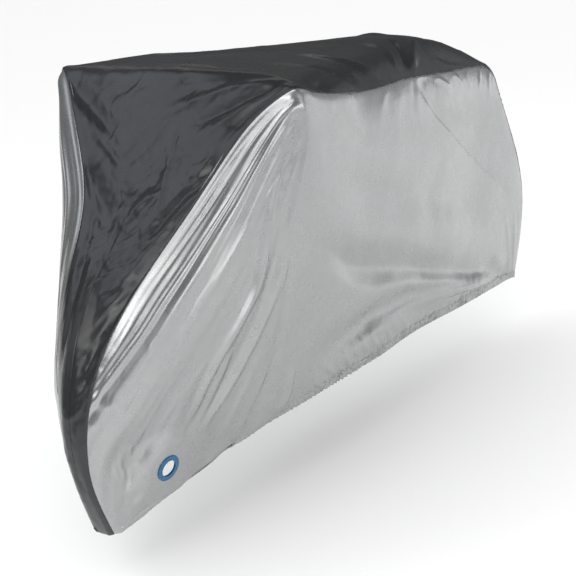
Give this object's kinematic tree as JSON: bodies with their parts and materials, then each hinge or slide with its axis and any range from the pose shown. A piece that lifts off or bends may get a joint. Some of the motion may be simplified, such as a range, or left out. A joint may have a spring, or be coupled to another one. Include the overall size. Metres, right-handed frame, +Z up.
{
  "type": "fitted bicycle cover",
  "caption": "Fitted bicycle cover: black middle strip, silver side panels, elastic hem and a round plastic eyelet low on each side; hollow and open below.",
  "frame": {"origin": "the point just under the middle of the top, above the front, where what the cover is fitted over carries it", "axes": "+X towards the front, +Y towards the cover's left side, +Z up as it hangs in use"},
  "size_m": [1.7338, 0.6181, 0.8216],
  "materials": {
    "black_cloth": "black coated woven polyester with a soft sheen",
    "silver_cloth": "silver coated woven polyester, satin",
    "blue_eyelet": "blue moulded plastic, glossy"
  },
  "bodies": {
    "root": {"middle_strip": "black_cloth", "side_panel_left": "silver_cloth", "side_panel_right": "silver_cloth", "eyelet_strip_left": "silver_cloth", "eyelet_strip_right": "silver_cloth", "eyelet_left": "blue_eyelet", "eyelet_right": "blue_eyelet"}
  },
  "joints": []
}
